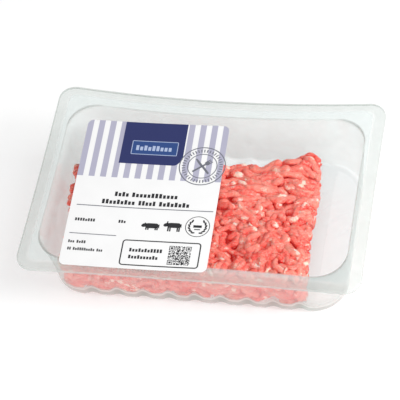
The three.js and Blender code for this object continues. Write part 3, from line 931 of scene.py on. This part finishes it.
def strand_course(start, length, loose, rng):
    """Course of one strand from above. Its direction is a heading, a sine bend, a curl that grows along it
    and a quick wobble, the first three drawn wider the looser it lies; the course is the running sum of
    steps in that direction."""
    heading = rng.normal(0, 0.3 + 0.8 * loose)
    bend = rng.uniform(0.15, 0.6) + rng.uniform(0.1, 1.2) * loose
    wave = rng.uniform(11, 30)
    phase = rng.uniform(0, 2 * math.pi)
    curl = rng.normal(0, 0.02 + 0.045 * loose)
    along = np.arange(-length / 2, length / 2, STRAND_STEP)
    wobble = 0.28 * np.sin(along / rng.uniform(0.9, 1.8) + rng.uniform(0, 6))
    angle = heading + bend * np.sin(2 * math.pi * along / wave + phase) + curl * along + wobble
    path = np.cumsum(np.stack([np.cos(angle), np.sin(angle)], axis=1), axis=0) * STRAND_STEP
    return path - path[len(path) // 2] + start


def drawn_length(spans, rng):
    """Length of a strand, the sum of one even draw from each span."""
    return sum(rng.uniform(*span) for span in spans)


def lay_sides(rng):
    """Strands round the heap's sides: courses along its outline and up its side, laid outwards."""
    turn = 4 * (HEAP_HALF - HEAP_CORNER).sum() + 2 * math.pi * HEAP_CORNER
    pile = Pile((0, 0), (turn - CELL, HEAP_TOP + 2), wrap=True)
    pile.height[:] = -CORE_INSET
    strands = []
    for _ in range(SIDE_STRANDS):
        radius = STRAND_RADIUS * rng.uniform(*THICKNESS)
        low = 1.2 + radius * 0.6
        high = HEAP_TOP - radius - 0.6
        places = rng.uniform((0, low), (turn, high), (PLACE_TRIES, 2))
        start = places[np.argmin(pile.height[pile.cells(places)])]
        path = strand_course(start, drawn_length(SIDE_LENGTH, rng), rng.uniform(0, 0.8), rng)
        path[:, 1] = np.clip(path[:, 1], low, high)
        path = smoothed(path, 2)
        # Each strand stays a little inside the even outline and weaves in and out by 0.4
        limit = -radius + 0.4 * np.sin(np.arange(len(path)) * STRAND_STEP / 2 + rng.uniform(0, 6)) - 0.3
        u, z, out = pile.lay(path, radius, limit, STRAND_PRESS).T
        point, outward = around_heap(u)
        out = out - undercut(point[:, 1], z, outward)
        point = point + outward * out[:, None]
        strands.append((np.column_stack([uneven(point[:, 0], point[:, 1]), z]), radius))
    return strands


def lay_top(rng):
    """Strands over the heap's top, each on the lowest of a few drawn places, then loose ones and crumbs."""
    pile = Pile(HEAP_CENTRE - HEAP_HALF - 4, HEAP_CENTRE + HEAP_HALF + 4)
    inset = heap_inset(pile.first, pile.second)
    # The target falls off by 3.2 towards the heap's edge, and the bed under the strands by 2.5 more
    edge = 3.2 * (1 - smooth_step(inset, 0, 7))
    target = heap_top(pile.first, pile.second) - edge
    pile.height = target - CORE_DEPTH - 2.5 * (1 - smooth_step(inset, 1, 5))
    strands = []
    for number in range(TOP_STRANDS + LOOSE_STRANDS + CRUMBS):
        crumb = number >= TOP_STRANDS + LOOSE_STRANDS
        spare = number >= TOP_STRANDS
        radius = STRAND_RADIUS * rng.uniform(*(CRUMB_THICKNESS if crumb else THICKNESS))
        places = HEAP_CENTRE + rng.uniform(-1, 1, (PLACE_TRIES, 2)) * (HEAP_HALF - radius)
        places = into_outline(places, radius + 0.2)
        cells = pile.cells(places)
        lack = target[cells] - pile.height[cells]
        best = np.argmax(lack)
        if lack[best] < ENOUGH and not spare:
            continue
        start = places[0] if spare else places[best]
        loose = smooth_step(start[0] * 0.35 - start[1], 0, 40)
        length = drawn_length(CRUMB_LENGTH if crumb else TOP_LENGTH, rng)
        path = into_outline(strand_course(start, length, loose, rng), radius + 0.1)
        path = into_outline(smoothed(path, 2), radius + 0.1)
        # A strand weaves up and down by 0.9 about its limit, and a spare one may stand out more
        tilt = 0.9 * np.sin(np.arange(len(path)) * STRAND_STEP / rng.uniform(2.5, 7) + rng.uniform(0, 6))
        limit = target[pile.cells(path)] + (1.6 if spare else 0.7) + tilt
        course = pile.lay(path, radius, limit, STRAND_PRESS)
        course[:, :2] = uneven(course[:, 0], course[:, 1])
        strands.append((course, radius))
    return strands


def strand_surface(path, radius, rng):
    """Points of one strand and two marks for each, how fatty it is and its tone. Rings lie across its
    course. Their reach is the radius, less at the blunt ends and towards its thinner start, times one plus
    a quick waist, a slow swelling, an oval that turns along it, and smoothed random lumps. A fatty spot is
    a flat-topped bell along and round the strand. The tone is one draw, a slow wave, and painted light from
    above: paler on top and deeper underneath."""
    count = len(path)
    forward = np.gradient(path, axis=0)
    forward /= np.linalg.norm(forward, axis=1, keepdims=True)
    side = np.cross(forward, [0, 0, 1.0])
    side /= np.linalg.norm(side, axis=1, keepdims=True)
    up = np.cross(side, forward)
    along = np.arange(count) * STRAND_STEP
    from_end = np.minimum(along, along[::-1])
    blunt = np.sqrt(np.clip(1 - (1 - np.clip(from_end / radius, 0.05, 1)) ** 2, 0.1, 1))
    thinner = 1 - rng.uniform(0, 0.3) * (1 - smooth_step(along, 0, 7))
    angle = np.linspace(0, 2 * math.pi, STRAND_SIDES, endpoint=False)[None]
    lumps = rng.normal(0, 1, (count, STRAND_SIDES))
    lumps = smoothed(0.5 * lumps + 0.25 * np.roll(lumps, 1, axis=1) + 0.25 * np.roll(lumps, -1, axis=1), 1)
    waist = WAIST * np.sin(along / rng.uniform(0.8, 1.6) + rng.uniform(0, 6))
    swelling = SWELLING * np.sin(along / rng.uniform(2, 4) + rng.uniform(0, 6))
    oval = OVAL * np.sin(2 * angle + along[:, None] / rng.uniform(3, 7) + rng.uniform(0, 6))
    reach = radius * (blunt * thinner)[:, None] * (1 + (waist + swelling)[:, None] + oval + LUMPS * lumps)
    points = (
        path[:, None]
        + side[:, None] * (reach * np.cos(angle))[..., None]
        + up[:, None] * (reach * np.sin(angle) * 0.95)[..., None]
    )
    fat = np.zeros((count, STRAND_SIDES))
    for _ in range(rng.poisson(along[-1] / FAT_SPACING)):
        centre = rng.uniform(0, along[-1])
        reach_along = rng.uniform(*FLECK)
        around = np.angle(np.exp(1j * (angle - rng.uniform(0, 2 * math.pi))))
        reach_around = rng.uniform(0.5, 1.3)
        spot = np.exp(-(((along[:, None] - centre) / reach_along) ** 4) - (around / reach_around) ** 4)
        fat = np.maximum(fat, spot * rng.uniform(0.5, 1))
    tone = rng.uniform(0, 1) + 0.2 * np.sin(along[:, None] / rng.uniform(4, 9) + rng.uniform(0, 6))
    # Painted light from above: paler on top, deeper underneath
    tone = tone + TOP_PAINTED_LIGHT * np.sin(angle)
    return points, fat, tone


def make_strands(finish, strands, rng):
    """All strands as tubes, each end closed by a fan of triangles, joined in a few pieces."""
    per_piece = math.ceil(len(strands) / STRAND_PIECES)
    for number in range(STRAND_PIECES):
        points, quads, caps, fats, tones_and_top_light = [], [], [], [], []
        start = 0
        for path, radius in strands[number * per_piece:(number + 1) * per_piece]:
            body, fat, tone = strand_surface(path, radius, rng)
            body = keep_in_tray(body)
            count = body.shape[0] * STRAND_SIDES
            index = start + np.arange(count).reshape(-1, STRAND_SIDES)
            around = np.concatenate([index, index[:, :1]], axis=1)
            quads.append(faces_of(around))
            ends = np.full((2, STRAND_SIDES), start + count) + [[0], [1]]
            caps.append(np.stack([around[0, :-1], around[0, 1:], ends[0]], axis=1))
            caps.append(np.stack([around[-1, 1:], around[-1, :-1], ends[1]], axis=1))
            points += [body.reshape(-1, 3), body[[0, -1]].mean(axis=1)]
            fats += [fat.ravel(), fat[[0, -1], 0]]
            # Each tone holds painted light from above
            tones_and_top_light += [tone.ravel(), tone[[0, -1], 0]]
            start += count + 2
        marks = {"fat": np.concatenate(fats), "tone": np.concatenate(tones_and_top_light)}
        faces = [np.concatenate(quads), np.concatenate(caps)]
        name = f"mince_strands_{number + 1}"
        make_piece(name, np.concatenate(points), faces, finish, "mince", marks)


def make_core(finish):
    """Lumpy body under the strands: rings inset from the heap's outline, from the middle of its underside
    out, up its side and in over its top, each given by its inset and its height, or no height where it
    follows the heap's top. The top falls off at its shoulder and has lumps, a product of two bent sines."""
    centres, normals = outline(side_long=60, side_short=34, arc=10)
    half_least = HEAP_HALF[1] - CORE_INSET - 0.6
    bottom = [(half_least * share, 0.6) for share in (1, 0.7, 0.4, 0.2, 0.08, 0.03)]
    side = [(0, 1.5), (-0.1, 4), (-0.2, 7), (-0.1, 10), (0, 13), (0.1, 16), (0.3, 19), (0.8, 21.5)]
    top = [(1.5 + half_least * share, None) for share in np.linspace(0, 0.96, 26)]
    rings = []
    for inside, level in bottom + side + top:
        half = HEAP_HALF - CORE_INSET - inside
        corner = min(max(HEAP_CORNER - CORE_INSET - inside * 0.3, 0.4), half[1] - 0.02)
        flat = centres * (half - corner) + normals * corner + HEAP_CENTRE
        height = HEAP_TOP - 4 if level is None else level
        flat = flat - normals * undercut(flat[:, 1], height, normals)[:, None]
        x, y = uneven(flat[:, 0], flat[:, 1]).T
        lump = 0.7 * np.sin(x / 1.9 + 2 * np.sin(y / 3.1)) * np.sin(y / 1.7 + 1.5 * np.sin(x / 4))
        shoulder = 2.2 * (1 - smooth_step(np.full_like(x, inside), 0, 6))
        z = heap_top(x, y) - CORE_DEPTH - shoulder + lump if level is None else np.full_like(x, level)
        rings.append(np.stack([x, y, z], axis=1))
    body = keep_in_tray(np.array(rings))
    rows, count = body.shape[:2]
    index = np.arange(rows * count).reshape(rows, count)
    around = np.concatenate([index, index[:, :1]], axis=1)
    under, under_ends = fill_ring(index[0])
    over, over_ends = fill_ring(index[-1])
    faces = np.concatenate([faces_of(around)[:, ::-1], under[:, ::-1], over])
    ends = np.concatenate([under_ends[:, ::-1], over_ends])
    make_piece("mince_core", body.reshape(-1, 3), [faces, ends], finish, "mince")


class Finish:
    """Node material being put together: add() places one node and gives its output."""

    def __init__(self, name):
        """Empty material whose patterns read the object's own coordinates."""
        self.material = bpy.data.materials.new(name)
        self.material.use_nodes = True
        self.tree = self.material.node_tree
        self.tree.nodes.clear()
        self.place = self.add("TexCoord", output="Object")

    def add(self, kind, inputs=None, output=0, **settings):
        """One node with its inputs, each a value or another node's output, and its settings."""
        node = self.tree.nodes.new("ShaderNode" + kind)
        for key, value in settings.items():
            setattr(node, key, value)
        for key, value in (inputs or {}).items():
            if isinstance(value, bpy.types.NodeSocket):
                self.tree.links.new(value, node.inputs[key])
            else:
                node.inputs[key].default_value = value
        return node.outputs[output] if node.outputs else node

    def noise(self, size, detail=3, stretch=(1, 1, 1), distortion=0):
        """Noise whose features are about a size in millimetres across."""
        place = self.add("Mapping", {"Vector": self.place, "Scale": stretch})
        inputs = {"Vector": place, "Scale": 1 / (size * MM), "Detail": detail, "Distortion": distortion}
        return self.add("TexNoise", inputs)

    def mark(self, name):
        """Value that the mesh holds at each point, 0 where it has none of that name."""
        return self.add("Attribute", attribute_name=name, output="Fac")

    def ramp(self, value, low, high, start=0.0, end=1.0):
        """Straight line from start at low to end at high, level outside them."""
        inputs = {"Value": value, "From Min": low, "From Max": high, "To Min": start, "To Max": end}
        return self.add("MapRange", inputs)

    def calculate(self, kind, first, second):
        """One calculation with two values."""
        return self.add("Math", {0: first, 1: second}, operation=kind)

    def plus(self, first, second):
        """Sum of two values."""
        return self.calculate("ADD", first, second)

    def times(self, first, second):
        """Product of two values."""
        return self.calculate("MULTIPLY", first, second)

    def blend(self, share, first, second):
        """Colour between two, the second in full at a share of 1. Sockets 6 and 7 take colours."""
        return self.add("Mix", {0: share, 6: first, 7: second}, output=2, data_type="RGBA")

    def mixed(self, share, first, second):
        """Shader that is the second one by a share."""
        return self.add("MixShader", {0: share, 1: first, 2: second})

    def bump(self, height, strength, distance):
        """Normal of a fine relief, its depth in millimetres."""
        return self.add("Bump", {"Height": height, "Strength": strength, "Distance": distance * MM})

    def done(self, shader):
        """The material with its surface set."""
        self.add("OutputMaterial", {"Surface": shader})
        return self.material


def colour(red, green, blue):
    """Linear colour from screen values between 0 and 255."""
    values = [v / 255 for v in (red, green, blue)]
    linear = [v / 12.92 if v <= 0.04045 else ((v + 0.055) / 1.055) ** 2.4 for v in values]
    return (*linear, 1)


def clear_plastic(name, body, roughness, gloss, ripple):
    """See-through plastic. Light goes through it tinted, from clear to smoke by the shade mark, which also
    holds painted shadow at the tray's feet, and at a low angle, and with the line mark's tint at the mouth,
    a painted dark line for the refraction in its bend. A milky body scatters the share that the haze mark
    gives, which also holds painted pale lines and streaks. Over both lies a mirror whose share grows from
    gloss to GLANCE with the fifth power of the slant, on both sides of the wall, with soft ripples from
    forming."""
    finish = Finish(name)
    relief = finish.plus(finish.noise(22, 2), finish.times(finish.noise(3.5, 3), 0.12))
    normal = finish.bump(relief, 0.6, ripple)
    cloud = finish.ramp(finish.noise(9, 4), 0.3, 0.7, 0.9, 1.1)
    rough = finish.ramp(finish.noise(6, 3), 0.3, 0.7, roughness * 0.7, roughness * 1.3)
    slant = finish.add("LayerWeight", {"Blend": 0.5, "Normal": normal}, output="Facing")
    steep = finish.times(finish.calculate("POWER", slant, 8.0), EDGE_SHADE)
    # The shade mark also holds the painted shadow at the tray's feet
    grey = finish.plus(finish.times(finish.mark("shade"), cloud), steep)
    tint = finish.blend(finish.calculate("MINIMUM", grey, 1.0), CLEAR, SMOKE)
    # Painted dark line at the mouth, patchy, for the refraction in its bend
    patchy = finish.ramp(finish.noise(38, 1), 0.42, 0.58, 0.6, 1)
    tint = finish.blend(finish.times(finish.mark("line"), patchy), tint, MOUTH_PAINTED_LINE)
    clear = finish.add("BsdfTransparent", {"Color": tint})
    milk = finish.add("BsdfPrincipled", {"Base Color": body, "Roughness": 0.6, "Specular IOR Level": 0.0})
    cloudy = finish.mixed(0.4, milk, finish.add("BsdfTranslucent", {"Color": body}))
    veil = finish.calculate("MINIMUM", finish.times(finish.mark("haze"), cloud), 1.0)
    wall = finish.mixed(veil, clear, cloudy)
    mirror = finish.add("BsdfPrincipled", {
        "Base Color": (1, 1, 1, 1), "Metallic": 1.0, "Roughness": rough, "Normal": normal,
    })
    reflected = finish.ramp(finish.calculate("POWER", slant, 5.0), 0, 1, gloss, GLANCE)
    return finish.done(finish.mixed(reflected, wall, mirror))


def paper(name, tint, roughness=0.42):
    """Smooth coated paper or ink on it: faint cloudy tone, fine fibre in its relief and sheen."""
    finish = Finish(name)
    cloud = finish.ramp(finish.noise(12, 4), 0.3, 0.7)
    darker = tuple(value * 0.965 for value in tint[:3]) + (1,)
    tone = finish.blend(cloud, darker, tint)
    fibre = finish.noise(0.5, 4, stretch=(1, 0.4, 1))
    normal = finish.bump(fibre, 0.25, 0.02)
    rough = finish.ramp(finish.noise(1.2, 3), 0.3, 0.7, roughness * 0.85, roughness * 1.15)
    inputs = {"Base Color": tone, "Roughness": rough, "Normal": normal, "IOR": 1.45}
    return finish.done(finish.add("BsdfPrincipled", inputs))


def moist(finish, tone, normal, roughness, reach, depth, ember, strength):
    """Moist meat from its tone and relief. Half of its light scatters inside, red further than the rest,
    its sheen is uneven between two values, and a faint red of its own stands for light from all round."""
    rough = finish.ramp(finish.noise(1.8, 3), 0.3, 0.7, *roughness)
    return finish.done(finish.add("BsdfPrincipled", {
        "Base Color": tone, "Roughness": rough, "Normal": normal, "IOR": 1.4, "Specular IOR Level": 0.3,
        "Subsurface Weight": 0.5, "Subsurface Radius": reach, "Subsurface Scale": depth * MM,
        "Emission Color": ember, "Emission Strength": strength,
    }))


def meat_strand():
    """Strands: lean from deep to pale pink by tone, which holds painted light from above, and cloud,
    streaked paler, partly real streaks and partly painted glints, with cream fat where marked, its edge
    frayed, and in small flecks, and a fibrous relief."""
    finish = Finish("minced_meat_strands")
    cloud = finish.noise(2.4, 4, distortion=0.8)
    share = finish.ramp(finish.plus(finish.mark("tone"), finish.times(cloud, 2.6)), 0.95, 2.65)
    lean = finish.blend(share, colour(238, 30, 27), colour(255, 144, 128))
    # Pale streaks: partly real streaks in the meat and partly painted glints of its wet sheen
    streak_and_glint = finish.ramp(finish.noise(1.1, 5, stretch=(0.6, 1, 1), distortion=1.2), 0.5, 0.68, 0, 0.75)
    lean = finish.blend(streak_and_glint, lean, colour(255, 182, 166))
    flecks = finish.ramp(finish.noise(1.5, 3), 0.66, 0.74)
    edge = finish.ramp(finish.noise(0.9, 3), 0.2, 0.8, -0.35, 0.35)
    fatty = finish.ramp(finish.plus(finish.mark("fat"), edge), 0.35, 0.75)
    fatty = finish.calculate("MAXIMUM", finish.times(flecks, 0.6), fatty)
    tone = finish.blend(fatty, lean, colour(255, 220, 204))
    normal = finish.bump(finish.plus(finish.noise(0.9, 5), finish.times(cloud, 0.8)), 0.8, 0.5)
    return moist(finish, tone, normal, (0.26, 0.46), (1.0, 0.22, 0.14), 2, (1, 0.06, 0.04, 1), 0.06)


def meat_core():
    """Meat deep between the strands: deeper red, cloudy, with a few pale flecks."""
    finish = Finish("minced_meat_core")
    cloud = finish.ramp(finish.noise(3.2, 4, distortion=0.8), 0.35, 0.65)
    lean = finish.blend(cloud, colour(250, 52, 40), colour(255, 92, 76))
    flecks = finish.ramp(finish.noise(2, 3), 0.64, 0.7)
    tone = finish.blend(flecks, lean, colour(252, 176, 156))
    normal = finish.bump(finish.noise(1.4, 4), 0.6, 0.5)
    return moist(finish, tone, normal, (0.3, 0.5), (1.0, 0.2, 0.12), 2.8, (1, 0.05, 0.03, 1), 0.1)


def make_camera():
    """Camera on a line from its target, turned by azimuth, elevation and roll."""
    azimuth, elevation, roll = map(math.radians, (CAMERA_AZIMUTH, CAMERA_ELEVATION, CAMERA_ROLL))
    level_reach = math.cos(elevation)
    back = Vector((math.sin(azimuth) * level_reach, -math.cos(azimuth) * level_reach, math.sin(elevation)))
    level = Vector((math.cos(azimuth), math.sin(azimuth), 0))
    upright = back.cross(level)
    right = level * math.cos(roll) + upright * math.sin(roll)
    up = upright * math.cos(roll) - level * math.sin(roll)
    place = (Vector(CAMERA_TARGET) + back * CAMERA_DISTANCE) * MM
    data = bpy.data.cameras.new("camera")
    data.sensor_width = SENSOR
    data.lens = FOCAL_PIXELS / IMAGE_PIXELS * SENSOR
    data.clip_start = 0.05
    camera = bpy.data.objects.new("camera", data)
    camera.matrix_world = Matrix.Translation(place) @ Matrix((right, up, back)).transposed().to_4x4()
    bpy.context.scene.collection.objects.link(camera)
    bpy.context.scene.camera = camera


def make_floor():
    """Plain pale floor with a barely uneven tone. Part of its white is its own glow, so that the pack's
    shadow stays as soft as in a white tent."""
    finish = Finish("floor_white")
    cloud = finish.ramp(finish.noise(60, 2), 0.3, 0.7)
    darker, lighter = ((level, level, level, 1) for level in FLOOR_TONES)
    tone = finish.blend(cloud, darker, lighter)
    shader = finish.add("BsdfPrincipled", {
        "Base Color": tone, "Roughness": 0.8, "Specular IOR Level": 0.1,
        "Emission Color": (1, 1, 1, 1), "Emission Strength": FLOOR_GLOW,
    })
    flat = np.array([[-1, -1, 0], [1, -1, 0], [1, 1, 0], [-1, 1, 0]]) * float(FLOOR_REACH)
    mesh = bpy.data.meshes.new("floor")
    mesh.from_pydata((flat * MM).tolist(), [], [(0, 1, 2, 3)])
    mesh.materials.append(finish.done(shader))
    floor = bpy.data.objects.new("floor", mesh)
    bpy.context.scene.collection.objects.link(floor)


def area_light(name, place, size, power, target=(0, 0, 0)):
    """Square soft light at a place in millimetres, facing its target."""
    data = bpy.data.lights.new(name, "AREA")
    data.shape = "SQUARE"
    data.size = size * MM
    data.energy = power
    light = bpy.data.objects.new(name, data)
    light.location = Vector(place) * MM
    light.rotation_euler = (Vector(target) - Vector(place)).to_track_quat("-Z", "Y").to_euler()
    bpy.context.scene.collection.objects.link(light)


def make_light():
    """Soft light from the right and a low one from the front, over an even white surround."""
    world = bpy.data.worlds.new("surround")
    world.use_nodes = True
    world.node_tree.nodes["Background"].inputs["Color"].default_value = (1, 1, 1, 1)
    world.node_tree.nodes["Background"].inputs["Strength"].default_value = SURROUND
    bpy.context.scene.world = world
    area_light("key", KEY_PLACE, KEY_SIZE, KEY_POWER)
    area_light("fill", FILL_PLACE, FILL_SIZE, FILL_POWER)


bpy.context.scene.view_settings.view_transform = "Standard"
make_camera()
make_light()
make_floor()

make_tray(clear_plastic("clear_tray", colour(244, 247, 245), roughness=0.12, gloss=0.014, ripple=0.25))
make_film(clear_plastic("clear_film", colour(240, 243, 244), roughness=0.08, gloss=0.005, ripple=0.15))
make_label(paper("label_paper", colour(246, 246, 246)))
make_print({
    "lavender": paper("ink_lavender", colour(180, 179, 199)),
    "navy": paper("ink_navy", colour(38, 47, 101)),
    "blue": paper("ink_blue", colour(40, 72, 132)),
    "pale": paper("ink_pale", colour(176, 190, 220)),
    "grey": paper("ink_grey", colour(112, 114, 124)),
    "black": paper("ink_black", colour(38, 38, 42)),
})
draw = np.random.default_rng(SEED)
strands = lay_sides(draw) + lay_top(draw)
make_strands(meat_strand(), strands, draw)
make_core(meat_core())
